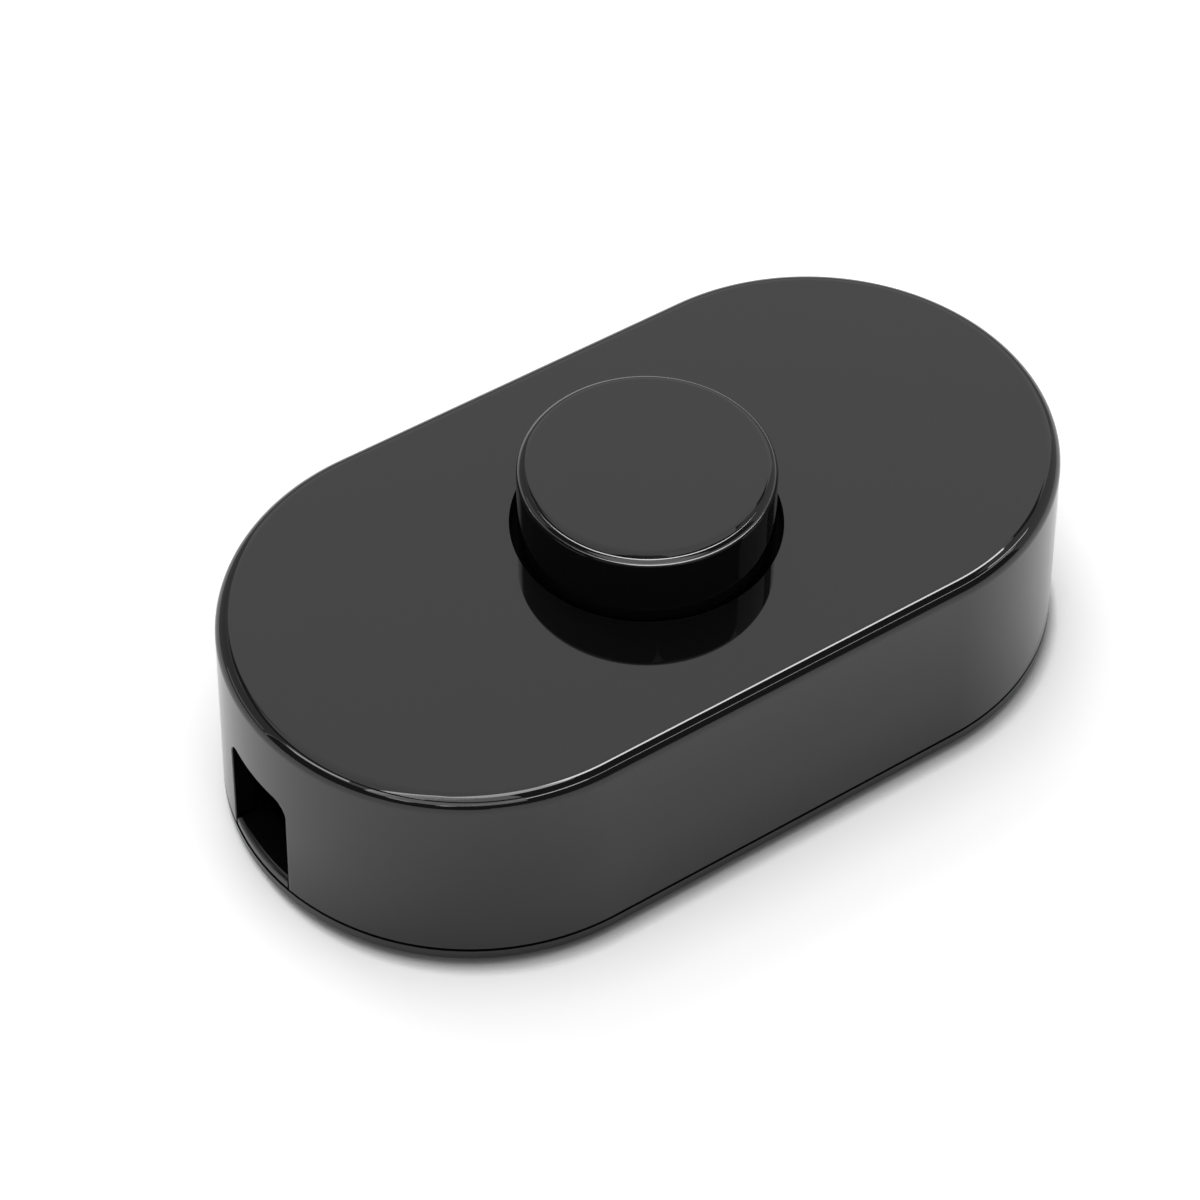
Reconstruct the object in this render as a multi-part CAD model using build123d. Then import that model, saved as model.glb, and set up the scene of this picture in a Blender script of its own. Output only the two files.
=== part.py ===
from build123d import *

import os
from math import cos, degrees, radians, sin

# In-line foot switch: a drafted stadium shell on a base plate, with a push button that turns a contact
# rotor by half an arm's pitch at each press.
# Millimetres, Z up. X runs along the length, and the part stands on z = 0 with its centre on the Z axis.

# Housing shell, measured at the seam
cover_length = 83.9
cover_width = 46.3
cover_height = 19.4
draft_angle = 1.9
wall = 2.0
roof = 2.0
edge_radius = 1.5

# Base plate
foot_drop = 0.7
foot_radius = 4.0
foot_seat_depth = 0.5
foot_seat_gap = 0.1
foot_margin = 2.9
foot_angle = 32.0
foot_edge_radius = 0.3
base_floor = 1.5
base_edge_radius = 0.4
blind_floor = 0.7
seam_gap = 0.25
seam_setback = 0.5
housing_gap = 0.15
locating_wall = 1.2
locating_height = 2.6

# Cable notch in each end of the shell, and the lip of the base that closes its bottom
notch_width = 9.2
notch_drop = 8.1
notch_radius = 1.6
lip_height = 1.05
lip_setback = 0.1
lip_side_gap = 0.2
lip_round = 0.5

# Screws that close the housing, one in opposite corners
housing_screw_radius = 1.45
housing_screw_length = 9.0
housing_head_radius = 2.75
housing_head_height = 1.8
housing_boss_wall = 1.9
housing_cup_wall = 1.15
housing_cup_height = 2.2
housing_cup_web = 1.4
housing_boss_gap = 0.1
housing_screw_angle = 65.0
head_gap = 0.35

# Push button
button_diameter = 23.3
button_gap = 0.7
button_rise = 7.3
button_travel = 4.0
button_edge_radius = 1.1
button_wall = 1.6
button_top = 2.0
flange_reach = 1.4
flange_thickness = 1.5
flange_gap = 0.2
socket_depth = 3.0
press_gap = 0.02

# Return spring
spring_wire = 0.8
spring_side_gap = 0.35
spring_end_gap = 0.05
spring_turns = 5

# Guide tower and the sleeve that runs in it
tower_wall = 1.2
guide_gap = 0.05
guide_overlap = 5.0
sleeve_wall = 1.1
key_width = 1.6
key_depth = 0.7
key_height = 2.3
key_side_gap = 0.1
key_end_gap = 0.3

# Rotor, its vanes and the pawls that push them
axle_diameter = 3.0
axle_gap = 0.05
axle_boss_wall = 2.0
axle_boss_height = 1.8
axle_stand_out = 1.2
thrust_gap = 0.1
hub_wall = 1.45
hub_square = 5.2
vane_count = 4
vane_width = 22.0
pawl_width = 20.0
pawl_height = 1.4
pawl_rise = 0.4
rotor_gap = 0.3
rib_root = 0.3
disc_thickness = 1.35
disc_margin = 0.2
clip_thickness = 0.6
clip_wall = 1.6
clip_groove = 0.3
clip_slit = 1.2
clip_gap = 0.2

# Contact star and the two contact leaves
star_thickness = 0.6
star_arm_width = 4.0
star_gap = 0.25
star_clearance = 2.2
leaf_thickness = 0.4
leaf_width = 4.0
leaf_tip = 1.6
rivet_radius = 1.2
rivet_height = 0.6
rivet_stem_radius = 0.6
rivet_inset = 0.95

# Carrier frame
plate_thickness = 1.5
plate_gap = 0.6
plate_margin = 2.0
leg_thickness = 1.5
leg_setback = 2.0
ear_thickness = 1.5
ear_width = 7.0
ear_post_radius = 2.1
ear_gap = 0.25
ear_side_gap = 0.1
frame_screw_radius = 1.1
frame_screw_length = 5.5
frame_head_radius = 1.9
frame_head_height = 1.4

# Terminal blocks
block_length = 7.0
block_width = 6.0
block_height = 7.0
block_gap = 0.15
wire_bore_radius = 1.4
wire_bore_height = 3.2
terminal_gap = 2.0
pedestal_height = 1.6
pocket_wall = 1.2
pocket_length = 5.0
pocket_height = 5.5
terminal_screw_radius = 1.5
terminal_head_radius = 2.4
terminal_head_height = 1.8
link_thickness = 0.8
link_height = 3.0
link_gap = 0.75
link_inset = 0.6
link_bend = 2.0

# Cord clamps
cable_room = 5.6
clamp_setback = 5.6
clamp_width = 6.0
clamp_thickness = 2.6
clamp_overhang = 3.0
clamp_ridge_width = 1.6
clamp_ridge_depth = 0.9
clamp_post_radius = 2.8
clamp_post_gap = 0.2
clamp_screw_radius = 1.5
clamp_screw_length = 8.4
clamp_head_radius = 2.6
clamp_head_height = 1.8
clamp_corner_radius = 1.5
cradle_width = 2.0
cradle_round = 0.5

# What all the screws share
slot_width = 0.7
slot_depth = 0.8
cross_margin = 1.0
head_round = 0.4
tip_chamfer = 0.6
thread_gap = 0.05
screw_hole_gap = 0.15
screw_tip_gap = 0.4

# How close to a height an edge counts as lying at it
height_tolerance = 0.0001

# Heights worked out from the sizes above
seat_z = foot_drop + base_floor
top_z = seat_z + cover_height
ceiling_z = top_z - roof
flange_top_z = ceiling_z - flange_gap
flange_z = flange_top_z - flange_thickness
button_top_z = top_z + button_rise
cap_roof_z = button_top_z - button_top
leaf_z = seat_z + pedestal_height
block_z = leaf_z + leaf_thickness
star_z = block_z + rivet_height + star_gap
disc_z = star_z + star_thickness
disc_top_z = disc_z + disc_thickness
plate_z = disc_top_z + plate_gap
plate_top_z = plate_z + plate_thickness
sleeve_z = disc_top_z + plate_gap + button_travel
tower_top_z = sleeve_z + guide_overlap
key_z = tower_top_z - key_end_gap - key_height
pawl_z = sleeve_z + pawl_rise
hub_z = seat_z + axle_boss_height + thrust_gap
hub_top_z = pawl_z + pawl_height + rotor_gap
clip_z = hub_top_z + clip_gap
axle_top_z = hub_top_z + axle_stand_out
lip_top_z = seat_z + lip_height
notch_top_z = top_z - notch_drop
clamp_z = lip_top_z + cable_room
cup_top_z = seat_z + housing_cup_height
head_seat_z = cup_top_z - housing_cup_web
blind_z = foot_drop + blind_floor
ear_z = blind_z + screw_tip_gap + frame_screw_length - ear_thickness

# Radii and places worked out from the sizes above
end_x = (cover_length - cover_width) / 2
inner_setback = wall + housing_gap + locating_wall
inside_half_width = cover_width / 2 - inner_setback
inside_half_length = cover_length / 2 - inner_setback
button_radius = button_diameter / 2
hole_radius = button_radius + button_gap
flange_radius = hole_radius + flange_reach
cap_inner_radius = button_radius - button_wall
spring_radius = cap_inner_radius - spring_side_gap - spring_wire / 2
tower_radius = spring_radius - spring_wire / 2 - spring_side_gap
guide_radius = tower_radius - tower_wall
sleeve_radius = guide_radius - guide_gap
sleeve_inner_radius = sleeve_radius - sleeve_wall
vane_radius = sleeve_inner_radius - rotor_gap
disc_radius = sleeve_radius + disc_margin
axle_radius = axle_diameter / 2
hub_bore_radius = axle_radius + axle_gap
hub_radius = hub_bore_radius + hub_wall
pawl_inner_radius = hub_radius + rotor_gap
plate_half_x = spring_radius + spring_wire / 2 + plate_margin
ear_y = inside_half_width - ear_post_radius - ear_gap
leg_outer_y = ear_y - max(ear_post_radius, frame_head_radius) - ear_side_gap
leg_inner_y = leg_outer_y - leg_thickness
leg_half_x = plate_half_x - leg_setback
link_y = leg_inner_y - link_gap - link_thickness / 2
star_reach = link_y - link_thickness / 2 - star_clearance
contact_radius = star_reach - rivet_inset
turn_per_press = 180 / vane_count
twist_per_mm = turn_per_press / button_travel
contact_x = contact_radius * sin(radians(turn_per_press))
contact_y = -contact_radius * cos(radians(turn_per_press))
terminal_x = plate_half_x + terminal_gap + block_length / 2
terminal_y = abs(contact_y)
clamp_x = inside_half_length - clamp_setback
clamp_post_y = notch_width / 2 + clamp_post_gap + clamp_post_radius
housing_boss_radius = housing_screw_radius + housing_boss_wall
head_recess_radius = housing_head_radius + head_gap
housing_cup_radius = head_recess_radius + housing_cup_wall
housing_screw_reach = inside_half_width - housing_cup_radius + locating_wall / 2
foot_reach = cover_width / 2 - foot_radius - foot_margin


def corner_point(reach, angle):
    """Point round the centre of the +X end's arc, in the -Y half."""
    return end_x + reach * cos(radians(angle)), -reach * sin(radians(angle))


screw_x, screw_y = corner_point(housing_screw_reach, housing_screw_angle)
housing_screw_places = [(screw_x, screw_y), (-screw_x, -screw_y)]
foot_x, foot_y = corner_point(foot_reach, foot_angle)
foot_places = [(sx * foot_x, sy * foot_y) for sx in (-1, 1) for sy in (-1, 1)]
terminal_places = [(sx * terminal_x, sy * terminal_y) for sx in (-1, 1) for sy in (-1, 1)]
clamp_screw_places = [(sx * clamp_x, sy * clamp_post_y) for sx in (-1, 1) for sy in (-1, 1)]
ear_places = [(0, ear_y), (0, -ear_y)]


def rod(radius, bottom, top, place=(0, 0)):
    """Upright round solid between two heights."""
    return Pos(*place, bottom) * extrude(Circle(radius), amount=top - bottom)


def block(size_x, size_y, bottom, top, place=(0, 0)):
    """Upright rectangular solid between two heights."""
    return Pos(*place, bottom) * extrude(Rectangle(size_x, size_y), amount=top - bottom)


def stadium(setback, bottom):
    """The housing's outline, set back from the seam's outer edge."""
    return Pos(0, 0, bottom) * SlotOverall(cover_length - 2 * setback, cover_width - 2 * setback)


def drafted(setback, bottom, top):
    """Stadium solid that narrows upwards by the mould's draft."""
    return extrude(stadium(setback, bottom), amount=top - bottom, taper=draft_angle)


def edges_at(solid, z):
    """Edges that lie flat at one height."""
    return solid.edges().filter_by_position(Axis.Z, z - height_tolerance, z + height_tolerance)


def mirrored(solid):
    """The same piece at the other end of the housing."""
    return mirror(solid, about=Plane.YZ)


def ring_sector(inner, outer, width):
    """Flat sector of a ring, centred on +X."""
    inner_arc = CenterArc((0, 0), inner, -width / 2, width)
    outer_arc = CenterArc((0, 0), outer, -width / 2, width)
    sides = [Line(inner_arc @ end, outer_arc @ end) for end in (0, 1)]
    return make_face([inner_arc, outer_arc, *sides])


def helical_rib(inner, outer, width, bottom, height, angle):
    """Rib that twists as it rises, at the rate at which the button turns the rotor."""
    section = ring_sector(inner, outer, width).face()
    rib = Solid.extrude_linear_with_rotation(section, (0, 0, 0), (0, 0, height), height * twist_per_mm)
    return Pos(0, 0, bottom) * Rot(0, 0, angle) * Part(rib.wrapped)


def screw(head_radius, head_height, shank_radius, length, cross):
    """Screw with the underside of its head at z = 0 and its tip below."""
    head = rod(head_radius, 0, head_height)
    head = fillet(edges_at(head, head_height), head_round)
    drive_reach = head_radius - cross_margin if cross else head_radius + slot_width
    drive = block(2 * drive_reach, slot_width, head_height - slot_depth, head_height)
    if cross:
        drive += Rot(0, 0, 90) * drive
    shank = rod(shank_radius, -length, 0)
    shank = chamfer(edges_at(shank, -length), tip_chamfer)
    return head + shank - drive


def cover_shell():
    """Hollow upper shell with the button hole, the two cable notches and the two screw bosses."""
    shell = drafted(0, seat_z, top_z)
    shell = fillet(edges_at(shell, top_z), edge_radius)
    shell -= drafted(wall, seat_z, ceiling_z)
    shell -= rod(hole_radius, ceiling_z, top_z)
    notch_height = notch_top_z - seat_z
    opening = Rectangle(notch_width, notch_height)
    opening = fillet(opening.vertices().group_by(Axis.Y)[-1], notch_radius)
    notch = extrude(Plane.YZ * opening, amount=cover_length / 2)
    notch = Pos(inside_half_length, 0, seat_z + notch_height / 2) * notch
    shell -= [notch, mirrored(notch)]
    for place in housing_screw_places:
        shell += rod(housing_boss_radius, cup_top_z + housing_boss_gap, ceiling_z, place)
        bore_top = head_seat_z + housing_screw_length + screw_tip_gap
        shell -= rod(housing_screw_radius + thread_gap, cup_top_z, bore_top, place)
    return shell


def base_lip():
    """Rounded lip that stands in the +X cable notch, under the flex."""
    lip = drafted(lip_setback, seat_z, lip_top_z)
    lip -= drafted(inner_setback - locating_wall / 2, seat_z, lip_top_z)
    lip &= block(cover_length / 2, notch_width - 2 * lip_side_gap, seat_z, lip_top_z, (cover_length / 2, 0))
    return fillet(edges_at(lip, lip_top_z), lip_round)


def cable_cradle():
    """Low rib between the +X clamp posts that the flex lies on."""
    rib = block(cradle_width, 2 * clamp_post_y, seat_z, lip_top_z, (clamp_x, 0))
    return fillet(edges_at(rib, lip_top_z).filter_by(Axis.Y), cradle_round)


def terminal_seat(x, y):
    """Pedestal under one terminal block, with a low wall on each side of it."""
    pedestal_top = block_z if y > 0 else leaf_z
    seat = [block(block_length, block_width, seat_z, pedestal_top, (x, y))]
    wall_offset = block_width / 2 + block_gap + pocket_wall / 2
    for side in (-1, 1):
        wall_place = (x, y + side * wall_offset)
        seat.append(block(pocket_length, pocket_wall, seat_z, seat_z + pocket_height, wall_place))
    return seat


def base_plate():
    """Lower plate with the locating wall, lips, posts, pedestals and screw cups."""
    rim = extrude(stadium(0, foot_drop), amount=base_floor - seam_gap)
    rim = fillet(edges_at(rim, foot_drop), base_edge_radius)
    step_z = foot_drop + base_edge_radius
    plate = rim + extrude(stadium(seam_setback, step_z), amount=seat_z - step_z)
    locating = drafted(wall + housing_gap, seat_z, seat_z + locating_height)
    locating -= drafted(inner_setback, seat_z, seat_z + locating_height)
    locating -= block(cover_length, notch_width, lip_top_z, seat_z + locating_height)
    plate += locating
    for rib in (base_lip(), cable_cradle()):
        plate += [rib, mirrored(rib)]
    plate += rod(axle_radius + axle_boss_wall, seat_z, seat_z + axle_boss_height)
    plate += [rod(ear_post_radius, seat_z, ear_z, place) for place in ear_places]
    plate += [rod(clamp_post_radius, seat_z, clamp_z, place) for place in clamp_screw_places]
    plate += [rod(housing_cup_radius, seat_z, cup_top_z, place) for place in housing_screw_places]
    for place in terminal_places:
        plate += terminal_seat(*place)

    plate -= rod(axle_radius + press_gap, blind_z, seat_z + axle_boss_height)
    plate -= [rod(frame_screw_radius + thread_gap, blind_z, ear_z, place) for place in ear_places]
    clamp_bore_z = clamp_z + clamp_thickness - clamp_screw_length - screw_tip_gap
    clamp_bore = rod(clamp_screw_radius + thread_gap, clamp_bore_z, clamp_z)
    plate -= [Pos(*place, 0) * clamp_bore for place in clamp_screw_places]
    for place in housing_screw_places:
        plate -= rod(head_recess_radius, foot_drop, head_seat_z, place)
        plate -= rod(housing_screw_radius + screw_hole_gap, head_seat_z, cup_top_z, place)
    for place in foot_places:
        plate -= rod(foot_radius + foot_seat_gap, foot_drop, foot_drop + foot_seat_depth, place)
    return plate


def grip_feet():
    """Four rubber pads in the underside's round seats."""
    pad = rod(foot_radius, 0, foot_drop + foot_seat_depth)
    pad = fillet(edges_at(pad, 0), foot_edge_radius)
    return [Pos(*place, 0) * pad for place in foot_places]


def housing_screws():
    """Two screws that go up through the base into the shell's bosses."""
    head = (housing_head_radius, housing_head_height)
    fastener = screw(*head, housing_screw_radius, housing_screw_length, cross=True)
    return [Pos(*place, head_seat_z) * Rot(180, 0, 0) * fastener for place in housing_screw_places]


def push_button():
    """Hollow cap with a retaining flange under the roof and a socket for the drive sleeve."""
    cap = rod(button_radius, flange_z, button_top_z)
    cap = fillet(edges_at(cap, button_top_z), button_edge_radius)
    cap += rod(flange_radius, flange_z, flange_top_z)
    cap -= rod(cap_inner_radius, flange_z, cap_roof_z)
    socket = rod(tower_radius, cap_roof_z - socket_depth, cap_roof_z)
    socket -= rod(sleeve_radius + press_gap, cap_roof_z - socket_depth, cap_roof_z)
    return cap + socket


def drive_sleeve():
    """Sleeve that slides in the guide tower, with pawls inside and two keys outside."""
    sleeve = rod(sleeve_radius, sleeve_z, cap_roof_z) - rod(sleeve_inner_radius, sleeve_z, cap_roof_z)
    keys = block(2 * (sleeve_radius + key_depth), key_width, key_z, key_z + key_height)
    sleeve += keys - rod(sleeve_radius - sleeve_wall / 2, key_z, key_z + key_height)
    vane_angle = (pawl_z - disc_top_z) * twist_per_mm
    gap_angle = degrees(rotor_gap / hub_radius)
    pawl_angle = vane_angle - (vane_width + pawl_width) / 2 - gap_angle
    for number in range(vane_count):
        angle = pawl_angle + number * 360 / vane_count
        outer = sleeve_inner_radius + rib_root
        sleeve += helical_rib(pawl_inner_radius, outer, pawl_width, pawl_z, pawl_height, angle)
    return sleeve


def return_spring():
    """Compression spring between the carrier's plate and the roof of the button."""
    bottom = plate_top_z + spring_end_gap + spring_wire / 2
    height = cap_roof_z - spring_end_gap - spring_wire / 2 - bottom
    coil = Helix(height / spring_turns, height, spring_radius)
    section = Plane(coil @ 0, z_dir=coil % 0) * Circle(spring_wire / 2)
    return Pos(0, 0, bottom) * sweep(section, path=coil, is_frenet=True)


def ratchet_rotor():
    """Rotor with a round hub, a carrier disc, a square seat for the star and helical vanes."""
    rotor = rod(hub_radius, disc_z, hub_top_z)
    rotor += rod(disc_radius, disc_z, disc_top_z)
    rotor += block(hub_square, hub_square, hub_z, disc_z)
    vane_height = hub_top_z - disc_top_z
    for number in range(vane_count):
        angle = number * 360 / vane_count
        rotor += helical_rib(hub_radius - rib_root, vane_radius, vane_width, disc_top_z, vane_height, angle)
    return rotor - rod(hub_bore_radius, hub_z, hub_top_z)


def contact_star():
    """Flat brass bridge with round-ended arms, keyed on the rotor's square."""
    plan = Circle(hub_square)
    arm = Pos(star_reach / 2, 0) * SlotOverall(star_reach, star_arm_width)
    for number in range(vane_count):
        plan += Rot(0, 0, number * 360 / vane_count) * arm
    hole = hub_square + 2 * press_gap
    plan -= Rectangle(hole, hole)
    return Pos(0, 0, star_z) * extrude(plan, amount=star_thickness)


def rotor_axle():
    """Steel pin pressed into the base, with a groove for its clip."""
    pin = rod(axle_radius, blind_z, axle_top_z)
    pin = chamfer(edges_at(pin, axle_top_z), clip_groove)
    groove = rod(axle_radius, clip_z, clip_z + clip_thickness)
    return pin - (groove - rod(axle_radius - clip_groove, clip_z, clip_z + clip_thickness))


def axle_clip():
    """Open spring ring in the pin's groove."""
    inner = axle_radius - clip_groove + press_gap
    ring = Circle(inner + clip_wall) - Circle(inner)
    ring -= Pos(inner + clip_wall / 2, 0) * Rectangle(2 * clip_wall, clip_slit)
    return Pos(0, 0, clip_z + press_gap) * extrude(ring, amount=clip_thickness - 2 * press_gap)


def switch_frame():
    """Carrier on two legs, with the guide tower that the sleeve slides in."""
    frame = block(2 * plate_half_x, 2 * leg_outer_y, plate_z, plate_top_z)
    frame += rod(tower_radius, plate_z, tower_top_z)
    frame -= rod(guide_radius, plate_z, tower_top_z)
    slot_z = key_z - button_travel - key_end_gap
    slot_size = key_width + 2 * key_side_gap
    frame -= block(2 * tower_radius, slot_size, slot_z, tower_top_z)
    for side in (-1, 1):
        leg_y = side * (leg_outer_y - leg_thickness / 2)
        frame += block(2 * leg_half_x, leg_thickness, seat_z, plate_z, (0, leg_y))
        ear_length = 2 * (ear_y - leg_outer_y)
        frame += block(ear_width, ear_length, ear_z, ear_z + ear_thickness, (0, side * ear_y))
    for place in ear_places:
        frame -= rod(frame_screw_radius + screw_hole_gap, ear_z, ear_z + ear_thickness, place)
    return frame


def frame_screws():
    """Two screws that hold the carrier's ears on the base's posts."""
    head = (frame_head_radius, frame_head_height)
    fastener = screw(*head, frame_screw_radius, frame_screw_length, cross=True)
    return [Pos(*place, ear_z + ear_thickness) * fastener for place in ear_places]


def terminal_block(place):
    """Brass block with a wire bore along X and a screw hole from the top."""
    body = block(block_length, block_width, block_z, block_z + block_height, place)
    bore = Plane.YZ * extrude(Circle(wire_bore_radius), amount=block_length / 2, both=True)
    body -= Pos(*place, block_z + wire_bore_height) * bore
    thread_radius = terminal_screw_radius + thread_gap
    return body - rod(thread_radius, block_z + wire_bore_height, block_z + block_height, place)


def neutral_link():
    """Two terminal blocks joined by a bent brass strip that passes round the rotor."""
    strip_y = terminal_y + block_width / 2 - link_inset
    bend_x = disc_radius
    knee_x = plate_half_x
    half_path = [(terminal_x, strip_y), (knee_x, strip_y), (bend_x, link_y)]
    path = half_path + [(-x, y) for x, y in reversed(half_path)]
    strip = trace(FilletPolyline(*path, radius=link_bend), line_width=link_thickness)
    link = Pos(0, 0, block_z) * extrude(strip, amount=link_height)
    for side in (-1, 1):
        place = (side * terminal_x, terminal_y)
        bore_room = block(block_length, block_width, block_z, block_z + block_height, place)
        link = link - bore_room + terminal_block(place)
    return link


def contact_leaf():
    """Bronze strip under the +X line block that reaches in to the star."""
    outer_end = terminal_x + block_length / 2
    inner_end = contact_x - leaf_tip
    middle = ((outer_end + inner_end) / 2, contact_y)
    leaf = block(outer_end - inner_end, leaf_width, leaf_z, block_z, middle)
    return leaf - rod(rivet_stem_radius + press_gap, leaf_z, block_z, (contact_x, contact_y))


def contact_rivets():
    """Two contact buttons, one on each leaf's tip."""
    rivet = rod(rivet_radius, block_z, block_z + rivet_height, (contact_x, contact_y))
    rivet += rod(rivet_stem_radius, leaf_z, block_z, (contact_x, contact_y))
    return [rivet, mirrored(rivet)]


def terminal_screws():
    """Four slotted screws over the wire bores."""
    length = block_height - wire_bore_height - wire_bore_radius - thread_gap
    head = (terminal_head_radius, terminal_head_height)
    fastener = screw(*head, terminal_screw_radius, length, cross=False)
    return [Pos(*place, block_z + block_height) * fastener for place in terminal_places]


def cord_clamp():
    """Bar across the +X flex, with a ridge that bites into its sheath."""
    bar_length = 2 * (clamp_post_y + clamp_overhang)
    bar = block(clamp_width, bar_length, clamp_z, clamp_z + clamp_thickness, (clamp_x, 0))
    bar = fillet(bar.edges().filter_by(Axis.Z), clamp_corner_radius)
    ridge_length = notch_width - clamp_ridge_width
    bar += block(clamp_ridge_width, ridge_length, clamp_z - clamp_ridge_depth, clamp_z, (clamp_x, 0))
    for side in (-1, 1):
        hole_place = (clamp_x, side * clamp_post_y)
        bar -= rod(clamp_screw_radius + screw_hole_gap, clamp_z, clamp_z + clamp_thickness, hole_place)
    return bar


def clamp_screws():
    """Four screws that draw the clamp bars down on their posts."""
    head = (clamp_head_radius, clamp_head_height)
    fastener = screw(*head, clamp_screw_radius, clamp_screw_length, cross=True)
    return [Pos(*place, clamp_z + clamp_thickness) * fastener for place in clamp_screw_places]


pieces = {
    "cover_shell": cover_shell(),
    "base_plate": base_plate(),
    "grip_feet": grip_feet(),
    "housing_screws": housing_screws(),
    "push_button": push_button(),
    "drive_sleeve": drive_sleeve(),
    "return_spring": return_spring(),
    "ratchet_rotor": ratchet_rotor(),
    "contact_star": contact_star(),
    "rotor_axle": rotor_axle(),
    "axle_clip": axle_clip(),
    "switch_frame": switch_frame(),
    "frame_screws": frame_screws(),
    "line_in_terminal": terminal_block((-terminal_x, contact_y)),
    "line_out_terminal": terminal_block((terminal_x, contact_y)),
    "line_in_leaf": mirrored(contact_leaf()),
    "line_out_leaf": contact_leaf(),
    "contact_rivets": contact_rivets(),
    "neutral_link": neutral_link(),
    "terminal_screws": terminal_screws(),
    "cord_clamp_in": mirrored(cord_clamp()),
    "cord_clamp_out": cord_clamp(),
    "clamp_screws": clamp_screws(),
}

os.makedirs("parts", exist_ok=True)
for name, piece in pieces.items():
    shape = Compound(children=piece) if isinstance(piece, list) else piece
    export_step(shape, f"parts/{name}.step")
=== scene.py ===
import math

import bmesh
import bpy
from mathutils import Matrix, Vector


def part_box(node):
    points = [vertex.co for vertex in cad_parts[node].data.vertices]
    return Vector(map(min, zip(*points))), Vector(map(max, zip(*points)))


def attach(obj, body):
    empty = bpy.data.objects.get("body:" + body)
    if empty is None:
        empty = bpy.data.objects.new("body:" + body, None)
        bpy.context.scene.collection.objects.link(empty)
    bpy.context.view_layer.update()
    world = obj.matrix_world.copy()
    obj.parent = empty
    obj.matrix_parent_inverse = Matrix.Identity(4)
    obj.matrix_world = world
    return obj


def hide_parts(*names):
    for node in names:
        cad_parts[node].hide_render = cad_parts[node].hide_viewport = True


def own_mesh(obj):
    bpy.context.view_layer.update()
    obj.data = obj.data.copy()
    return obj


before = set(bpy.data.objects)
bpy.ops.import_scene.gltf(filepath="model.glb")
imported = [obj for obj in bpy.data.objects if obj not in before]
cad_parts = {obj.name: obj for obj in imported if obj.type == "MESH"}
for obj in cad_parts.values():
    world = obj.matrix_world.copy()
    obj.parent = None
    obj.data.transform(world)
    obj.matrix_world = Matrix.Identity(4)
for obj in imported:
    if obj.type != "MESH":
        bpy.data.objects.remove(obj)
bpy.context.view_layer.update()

bl_info = {
    "name": "Foot switch",
    "version": (1, 0, 0),
    "blender": (4, 5, 0),
    "location": "3D View > Sidebar > Foot switch",
    "description": "Builds the gloss shell and button of a foot switch, finishes its pieces and lights it",
    "category": "Object",
}

MM = 0.001

# Boxes of the frame that the new pieces are fitted to
base_low, base_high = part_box("base_plate")
cover_low, cover_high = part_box("cover_shell")
button_low, button_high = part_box("push_button")
screws_low, screws_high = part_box("housing_screws")
spring_low, spring_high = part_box("return_spring")

# How finely curves are divided
END_STEPS = 128
SIDE_STEPS = 48
ROUND_STEPS = 48
FILLET_STEPS = 20
BREAK_STEPS = 5
WALL_ROWS = 8
WIRE_STEPS = 12

# Stretch of a metal's working lines, and how many times larger its tone patches are
EVEN = (1.0, 1.0, 1.0)
ALONG_X = (0.06, 1.0, 1.0)
ALONG_Y = (1.0, 0.06, 1.0)
ALONG_Z = (1.0, 1.0, 0.06)
METAL_PATCH = 8

# Margin by which a cutting solid stands clear of what it cuts
CUT_MARGIN = 1 * MM

# Angle from which an edge stays sharp, and how strongly the larger faces set the smooth shading
SHARP_FROM = math.radians(32)
LARGE_FACES = 100

# Sockets of the Mix node: the share, the two numbers and the two colours, and what comes out of it
SHARE, NUMBER_A, NUMBER_B, COLOUR_A, COLOUR_B = 0, 2, 3, 6, 7
NUMBER_OUT, COLOUR_OUT = 0, 2

# Plain white, and the brightness at which a surface shows as it is written
WHITE = (1.0, 1.0, 1.0, 1.0)
WHITE_LEVEL = 1.0

# Detail of the noise patterns
LITTLE_DETAIL, SOME_DETAIL, FINE_DETAIL = 1.0, 2.0, 3.0

# Roughness of each finish where it shines most and least
ABS_ROUGHNESS = (0.02, 0.04)
NYLON_ROUGHNESS = (0.42, 0.6)
ACETAL_ROUGHNESS = (0.28, 0.4)
RUBBER_ROUGHNESS = (0.7, 0.95)
ZINC_ROUGHNESS = (0.2, 0.38)
STEEL_ROUGHNESS = (0.22, 0.4)
BRASS_ROUGHNESS = (0.2, 0.4)
BRONZE_ROUGHNESS = (0.18, 0.34)
SILVER_ROUGHNESS = (0.12, 0.3)
PAPER_ROUGHNESS = (0.9, 1.0)

# Refractive index of each plastic
ABS_IOR = 1.54
NYLON_IOR = 1.53
ACETAL_IOR = 1.48

# Roughness of unpolished ABS; the specular level of the button's flange, turned down as painted shade so the
# gap round the button stays dark; that of polished ABS; and how many border widths above the flange the full
# polish starts
DULL_ROUGHNESS = 0.8
FLANGE_SHADE_LEVEL, POLISHED_LEVEL = 0.05, 0.5
BORDERS_UP = 2

# Strength of the ABS waves and of the rubber's grain, and the height of both
WAVE_STRENGTH = 0.03
GRAIN_STRENGTH = 0.3
BUMP_HEIGHT = 0.05 * MM

# Stretch of the nylon's fibres, and the levels of their noise at which they start to show and show fully
FIBRE_STRETCH = (0.2, 1.0, 1.0)
FIBRE_FROM, FIBRE_FULL = 0.55, 0.75

# Share of the light that gets into the acetal, and how far
SCATTER_SHARE = 0.25
SCATTER_DEPTH = 0.5 * MM

# Share of open sky at which the contact shadow is full and at which it ends, its brightness and its samples
SHADOW_FULL, SHADOW_END = 0.55, 0.96
SHADOW_LEVEL = 0.35
SHADOW_SAMPLES = 4

# Width of the camera's sensor in millimetres, and the nearest and farthest distance that it sees, in metres
SENSOR_WIDTH = 36
SEEN_FROM, SEEN_TO = 0.01, 20

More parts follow.
